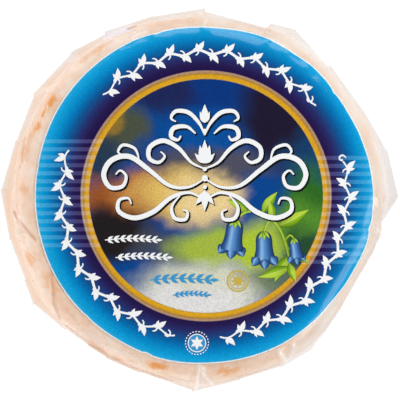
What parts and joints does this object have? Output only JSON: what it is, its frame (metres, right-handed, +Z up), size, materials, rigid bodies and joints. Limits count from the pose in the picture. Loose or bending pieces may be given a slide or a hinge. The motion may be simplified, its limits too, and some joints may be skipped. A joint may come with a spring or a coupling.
{
  "type": "wrapped soft cheese",
  "caption": "Soft ripened cheese wheel in pleated, milky translucent film, with a round printed paper label on its top face.",
  "frame": {"origin": "under the middle of the wrapped wheel's box, on the surface it rests on", "axes": "+Z up out of the label's face, +Y towards the top of the label's design, +X to its right"},
  "size_m": [0.1156, 0.1111, 0.03],
  "materials": {
    "film": "milky translucent film, satin, in folds over a peach rind",
    "label_paper": "coated paper, printed, semi-gloss"
  },
  "bodies": {
    "root": {"wrapped_cheese": "film", "label": "label_paper"}
  },
  "joints": []
}
